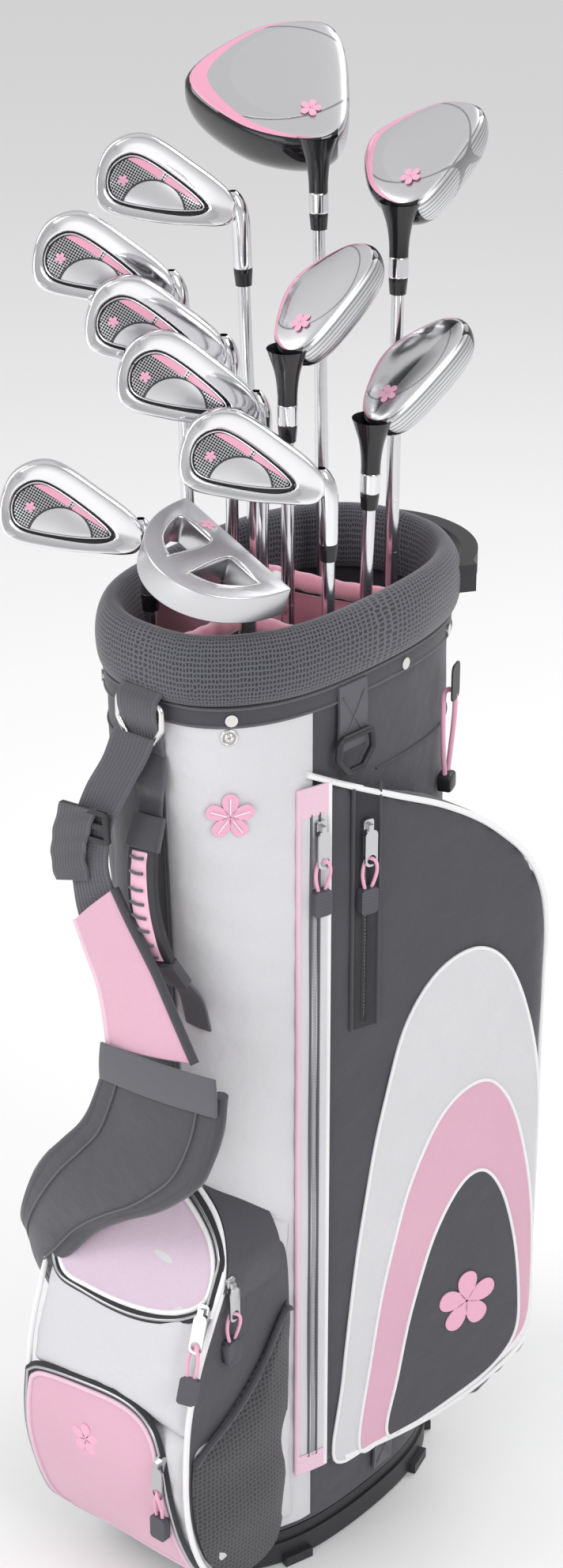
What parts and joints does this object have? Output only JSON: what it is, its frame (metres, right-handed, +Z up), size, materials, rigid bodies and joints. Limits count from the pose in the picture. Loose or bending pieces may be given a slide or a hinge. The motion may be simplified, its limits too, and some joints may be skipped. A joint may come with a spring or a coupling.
{
  "type": "golf club set",
  "caption": "Golf cart bag with zipped pockets, padded dividers and a shoulder strap, holding a set of woods, hybrids, cavity-back irons and a mallet putter.",
  "frame": {"origin": "centre of the moulded base's flat underside", "axes": "+Z up along the bag, the pouch and strap side faces -Y, the side zip and accessory pocket are on +X"},
  "size_m": [0.3199, 0.4193, 1.1923],
  "materials": {
    "steel_head": "satin and polished",
    "putter_steel": "satin",
    "wood_head": "gloss black with a brushed sole",
    "shaft_steel": "polished",
    "grip_rubber": "matte",
    "zip_metal": "satin",
    "pink_cord": "woven",
    "dark_cord": "woven",
    "moulded_black": "matte",
    "white_fabric": "coated weave",
    "mesh_fabric": "spacer mesh",
    "pink_padding": "brushed",
    "liner": "plain weave",
    "alloy": "satin",
    "charcoal_fabric": "ripstop weave",
    "lilac_panel": "coated weave",
    "nickel": "polished",
    "webbing": "ribbed webbing"
  },
  "bodies": {
    "bag": {"ball_pocket": "white_fabric", "base_moulding": "moulded_black", "body_tube": "white_fabric", "collar_pad": "mesh_fabric", "divider_bars": "pink_padding", "front_parked_zip_cord": "dark_cord", "front_pocket": "lilac_panel", "inner_dividers": "liner", "left_pocket": "charcoal_fabric", "metal_fittings": "nickel", "right_pocket": "charcoal_fabric", "shoulder_strap": "webbing", "stay_rods": "alloy", "top_frame": "moulded_black", "umbrella_cord": "pink_cord", "webbing": "webbing", "zip_tapes": "liner"},
    "driver": {"driver_head": "wood_head", "driver_shaft": "shaft_steel", "driver_grip": "grip_rubber"},
    "fairway_wood": {"fairway_wood_head": "wood_head", "fairway_wood_shaft": "shaft_steel", "fairway_wood_grip": "grip_rubber"},
    "hybrid_4": {"hybrid_4_head": "wood_head", "hybrid_4_shaft": "shaft_steel", "hybrid_4_grip": "grip_rubber"},
    "hybrid_5": {"hybrid_5_head": "wood_head", "hybrid_5_shaft": "shaft_steel", "hybrid_5_grip": "grip_rubber"},
    "iron_6": {"iron_6_head": "steel_head", "iron_6_shaft": "shaft_steel", "iron_6_grip": "grip_rubber"},
    "iron_7": {"iron_7_head": "steel_head", "iron_7_shaft": "shaft_steel", "iron_7_grip": "grip_rubber"},
    "iron_8": {"iron_8_head": "steel_head", "iron_8_shaft": "shaft_steel", "iron_8_grip": "grip_rubber"},
    "iron_9": {"iron_9_head": "steel_head", "iron_9_shaft": "shaft_steel", "iron_9_grip": "grip_rubber"},
    "pitching_wedge": {"pitching_wedge_head": "steel_head", "pitching_wedge_shaft": "shaft_steel", "pitching_wedge_grip": "grip_rubber"},
    "sand_wedge": {"sand_wedge_head": "steel_head", "sand_wedge_shaft": "shaft_steel", "sand_wedge_grip": "grip_rubber"},
    "putter": {"putter_head": "putter_steel", "putter_shaft": "shaft_steel", "putter_grip": "grip_rubber"},
    "side_zip_pull": {"side_zip_slider": "zip_metal", "side_zip_cord": "pink_cord"},
    "accessory_zip_pull": {"accessory_zip_slider": "zip_metal", "accessory_zip_cord": "dark_cord"},
    "ball_zip_pull": {"ball_zip_slider": "zip_metal", "ball_zip_cord": "dark_cord"},
    "front_zip_pull": {"front_zip_slider": "zip_metal", "front_zip_cord": "dark_cord"},
    "handle": {"carry_handle": "webbing"},
    "ring": {"towel_ring": "moulded_black"}
  },
  "joints": [
    {"name": "driver_lift", "type": "slide", "parent": "bag", "child": "driver", "axis": [-0.0252, 0.0031, 0.9997], "range_m": [0, 0.85]},
    {"name": "fairway_wood_lift", "type": "slide", "parent": "bag", "child": "fairway_wood", "axis": [0.0022, 0.0099, 0.9999], "range_m": [0, 0.84]},
    {"name": "hybrid_4_lift", "type": "slide", "parent": "bag", "child": "hybrid_4", "axis": [0.0054, -0.0118, 0.9999], "range_m": [0, 0.84]},
    {"name": "hybrid_5_lift", "type": "slide", "parent": "bag", "child": "hybrid_5", "axis": [0.032, -0.0033, 0.9995], "range_m": [0, 0.05]},
    {"name": "iron_6_lift", "type": "slide", "parent": "bag", "child": "iron_6", "axis": [-0.034, -0.0172, 0.9993], "range_m": [0, 0.8]},
    {"name": "iron_7_lift", "type": "slide", "parent": "bag", "child": "iron_7", "axis": [-0.0414, 0.011, 0.9991], "range_m": [0, 0.8]},
    {"name": "iron_8_lift", "type": "slide", "parent": "bag", "child": "iron_8", "axis": [0.0239, -0.0276, 0.9993], "range_m": [0, 0.8]},
    {"name": "iron_9_lift", "type": "slide", "parent": "bag", "child": "iron_9", "axis": [0.0026, 0.0079, 1], "range_m": [0, 0.5]},
    {"name": "pitching_wedge_lift", "type": "slide", "parent": "bag", "child": "pitching_wedge", "axis": [0.013, -0.0214, 0.9997], "range_m": [0, 0.8]},
    {"name": "sand_wedge_lift", "type": "slide", "parent": "bag", "child": "sand_wedge", "axis": [-0.0229, 0.0068, 0.9997], "range_m": [0, 0.07]},
    {"name": "putter_lift", "type": "slide", "parent": "bag", "child": "putter", "axis": [0.0188, -0.0106, 0.9998], "range_m": [0, 0.018]},
    {"name": "side_zip_run", "type": "slide", "parent": "bag", "child": "side_zip_pull", "axis": [0, 0, -1], "range_m": [0, 0.55]},
    {"name": "accessory_zip_run", "type": "slide", "parent": "bag", "child": "accessory_zip_pull", "axis": [0, 0, -1], "range_m": [0, 0.1]},
    {"name": "ball_zip_run", "type": "slide", "parent": "bag", "child": "ball_zip_pull", "axis": [0, 0, -1], "range_m": [0, 0.06]},
    {"name": "front_zip_run", "type": "slide", "parent": "bag", "child": "front_zip_pull", "axis": [0, -0.3714, -0.9285], "range_m": [0, 0.03]},
    {"name": "handle_swing", "type": "hinge", "parent": "bag", "child": "handle", "pos_m": [0.012, -0.157, 0.566], "axis": [1, 0, 0], "range_deg": [0, 9]},
    {"name": "ring_swing", "type": "hinge", "parent": "bag", "child": "ring", "pos_m": [0.09941, -0.03276, 0.742], "axis": [0.0546, 0.9985, 0], "range_deg": [-25, 0]}
  ]
}
